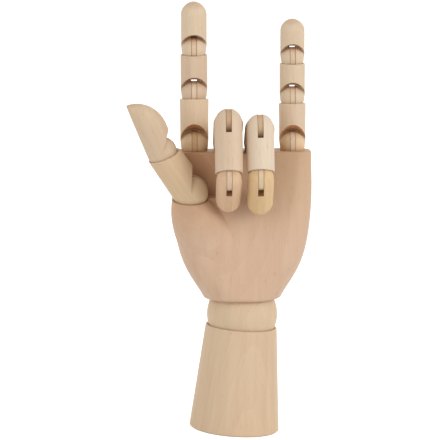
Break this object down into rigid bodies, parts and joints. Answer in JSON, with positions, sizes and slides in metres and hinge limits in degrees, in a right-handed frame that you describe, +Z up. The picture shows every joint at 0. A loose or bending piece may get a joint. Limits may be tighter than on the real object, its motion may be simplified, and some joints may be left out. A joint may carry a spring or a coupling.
{
  "type": "jointed wooden hand mannequin",
  "caption": "Jointed wooden left hand on a turned forearm, with hinged fingers and thumb and a sprung ball wrist that hold a pose for drawing or display.",
  "frame": {"origin": "centre of the forearm's flat base", "axes": "+Z up along the forearm, palm faces -Y, thumb at -X"},
  "size_m": [0.1084, 0.0737, 0.2434],
  "materials": {
    "forearm_wood": "sanded bare pale hardwood",
    "wrist_ball_wood": "sanded bare pale hardwood",
    "rod_steel": "zinc plated",
    "palm_wood": "sanded bare pale hardwood",
    "tongue_wood": "sanded bare pale hardwood",
    "index_proximal_wood": "sanded bare pale hardwood",
    "pin_steel": "drawn wire, slightly dull",
    "index_middle_wood": "sanded bare pale hardwood",
    "index_distal_wood": "sanded bare pale hardwood",
    "middle_proximal_wood": "sanded bare pale hardwood",
    "middle_middle_wood": "sanded bare pale hardwood",
    "middle_distal_wood": "sanded bare pale hardwood",
    "ring_proximal_wood": "sanded bare pale hardwood",
    "ring_middle_wood": "sanded bare pale hardwood",
    "ring_distal_wood": "sanded bare pale hardwood",
    "little_proximal_wood": "sanded bare pale hardwood",
    "little_middle_wood": "sanded bare pale hardwood",
    "little_distal_wood": "sanded bare pale hardwood",
    "thumb_proximal_wood": "sanded bare pale hardwood",
    "thumb_distal_wood": "sanded bare pale hardwood"
  },
  "bodies": {
    "forearm": {"forearm": "forearm_wood"},
    "wrist_ball": {"wrist_ball": "wrist_ball_wood"},
    "wrist_rod": {"wrist_rod": "rod_steel", "spring_seat": "rod_steel", "wrist_spring": "rod_steel", "wrist_washer": "rod_steel", "wrist_nut": "rod_steel"},
    "palm": {"palm": "palm_wood", "index_proximal_tongue": "tongue_wood", "middle_proximal_tongue": "tongue_wood", "ring_proximal_tongue": "tongue_wood", "little_proximal_tongue": "tongue_wood", "thumb_proximal_tongue": "tongue_wood"},
    "index_proximal": {"index_proximal": "index_proximal_wood", "index_proximal_pin": "pin_steel", "index_middle_tongue": "tongue_wood"},
    "index_middle": {"index_middle": "index_middle_wood", "index_middle_pin": "pin_steel", "index_distal_tongue": "tongue_wood"},
    "index_distal": {"index_distal": "index_distal_wood", "index_distal_pin": "pin_steel"},
    "middle_proximal": {"middle_proximal": "middle_proximal_wood", "middle_proximal_pin": "pin_steel", "middle_middle_tongue": "tongue_wood"},
    "middle_middle": {"middle_middle": "middle_middle_wood", "middle_middle_pin": "pin_steel", "middle_distal_tongue": "tongue_wood"},
    "middle_distal": {"middle_distal": "middle_distal_wood", "middle_distal_pin": "pin_steel"},
    "ring_proximal": {"ring_proximal": "ring_proximal_wood", "ring_proximal_pin": "pin_steel", "ring_middle_tongue": "tongue_wood"},
    "ring_middle": {"ring_middle": "ring_middle_wood", "ring_middle_pin": "pin_steel", "ring_distal_tongue": "tongue_wood"},
    "ring_distal": {"ring_distal": "ring_distal_wood", "ring_distal_pin": "pin_steel"},
    "little_proximal": {"little_proximal": "little_proximal_wood", "little_proximal_pin": "pin_steel", "little_middle_tongue": "tongue_wood"},
    "little_middle": {"little_middle": "little_middle_wood", "little_middle_pin": "pin_steel", "little_distal_tongue": "tongue_wood"},
    "little_distal": {"little_distal": "little_distal_wood", "little_distal_pin": "pin_steel"},
    "thumb_proximal": {"thumb_proximal": "thumb_proximal_wood", "thumb_proximal_pin": "pin_steel", "thumb_distal_tongue": "tongue_wood"},
    "thumb_distal": {"thumb_distal": "thumb_distal_wood", "thumb_distal_pin": "pin_steel"}
  },
  "joints": [
    {"name": "wrist_turn", "type": "hinge", "parent": "forearm", "child": "wrist_ball", "pos_m": [0, 0, 0.067], "axis": [0, 0, 1], "continuous": true},
    {"name": "wrist_bend", "type": "hinge", "parent": "wrist_ball", "child": "wrist_rod", "pos_m": [0, 0, 0.067], "axis": [0, 1, 0], "range_deg": [-6.8, 15.2]},
    {"name": "palm_turn", "type": "hinge", "parent": "wrist_rod", "child": "palm", "pos_m": [0, 0, 0.067], "axis": [-0.0732, 0, 0.9973], "range_deg": [-180, 180]},
    {"name": "index_proximal_hinge", "type": "hinge", "parent": "palm", "child": "index_proximal", "pos_m": [-0.03379, 0, 0.16228], "axis": [0.9973, 0, 0.0732], "range_deg": [-23, 72]},
    {"name": "index_middle_hinge", "type": "hinge", "parent": "index_proximal", "child": "index_middle", "pos_m": [-0.03594, 0.00103, 0.19158], "axis": [0.9973, 0, 0.0732], "range_deg": [-27, 83]},
    {"name": "index_distal_hinge", "type": "hinge", "parent": "index_middle", "child": "index_distal", "pos_m": [-0.03778, -0.00117, 0.21662], "axis": [0.9973, 0, 0.0732], "range_deg": [-24, 24]},
    {"name": "middle_proximal_hinge", "type": "hinge", "parent": "palm", "child": "middle_proximal", "pos_m": [-0.01529, 0, 0.16364], "axis": [0.9973, 0, 0.0732], "range_deg": [-87, 4]},
    {"name": "middle_middle_hinge", "type": "hinge", "parent": "middle_proximal", "child": "middle_middle", "pos_m": [-0.01644, -0.02958, 0.17932], "axis": [0.9973, 0, 0.0732], "range_deg": [-117, 1]},
    {"name": "middle_distal_hinge", "type": "hinge", "parent": "middle_middle", "child": "middle_distal", "pos_m": [-0.01422, -0.04123, 0.14906], "axis": [0.9973, 0, 0.0732], "range_deg": [-94, 2]},
    {"name": "ring_proximal_hinge", "type": "hinge", "parent": "palm", "child": "ring_proximal", "pos_m": [0.00228, 0, 0.16493], "axis": [0.9973, 0, 0.0732], "range_deg": [-91, 1]},
    {"name": "ring_middle_hinge", "type": "hinge", "parent": "ring_proximal", "child": "ring_middle", "pos_m": [0.00137, -0.02786, 0.1773], "axis": [0.9973, 0, 0.0732], "range_deg": [-114, 1]},
    {"name": "ring_distal_hinge", "type": "hinge", "parent": "ring_middle", "child": "ring_distal", "pos_m": [0.00335, -0.03771, 0.15031], "axis": [0.9973, 0, 0.0732], "range_deg": [-84, 2]},
    {"name": "little_proximal_hinge", "type": "hinge", "parent": "palm", "child": "little_proximal", "pos_m": [0.0217, 0, 0.16636], "axis": [0.9973, 0, 0.0732], "range_deg": [-23, 72]},
    {"name": "little_middle_hinge", "type": "hinge", "parent": "little_proximal", "child": "little_middle", "pos_m": [0.01977, 0.00092, 0.19267], "axis": [0.9973, 0, 0.0732], "range_deg": [-25, 85]},
    {"name": "little_distal_hinge", "type": "hinge", "parent": "little_middle", "child": "little_distal", "pos_m": [0.01812, -0.00026, 0.21518], "axis": [0.9973, 0, 0.0732], "range_deg": [-23, 52]},
    {"name": "thumb_proximal_hinge", "type": "hinge", "parent": "palm", "child": "thumb_proximal", "pos_m": [-0.03463, -0.017, 0.13715], "axis": [0.0152, -0.9781, -0.2074], "range_deg": [-33.5, 3.5]},
    {"name": "thumb_distal_hinge", "type": "hinge", "parent": "thumb_proximal", "child": "thumb_distal", "pos_m": [-0.05227, -0.02201, 0.15949], "axis": [0.0152, -0.9781, -0.2074], "range_deg": [-48.2, 25.8]}
  ]
}
